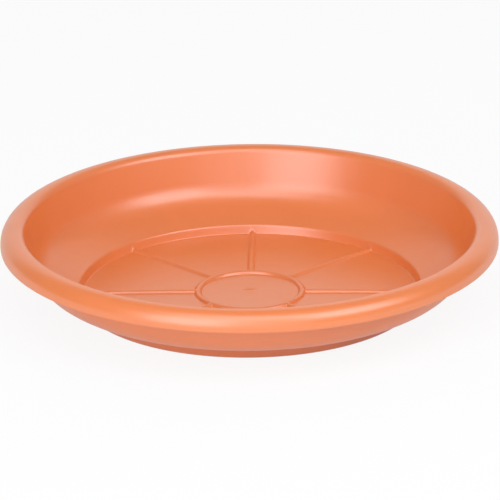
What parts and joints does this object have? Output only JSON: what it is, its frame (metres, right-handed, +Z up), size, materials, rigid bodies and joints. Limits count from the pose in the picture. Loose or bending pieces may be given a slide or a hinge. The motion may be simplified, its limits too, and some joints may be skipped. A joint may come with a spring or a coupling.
{
  "type": "plant saucer",
  "caption": "Round moulded plastic plant saucer with a rolled, down-turned rim, a stepped floor and a raised ring and ribs that lift a pot clear of the water it catches.",
  "frame": {"origin": "centre of the base, on the surface that the saucer stands on", "axes": "+Z up along the saucer's axis of turning, one raised rib along +X and one along +Y"},
  "size_m": [0.3, 0.3, 0.0459],
  "materials": {
    "terracotta_plastic": "satin, evenly coloured through"
  },
  "bodies": {
    "root": {"saucer": "terracotta_plastic"}
  },
  "joints": []
}
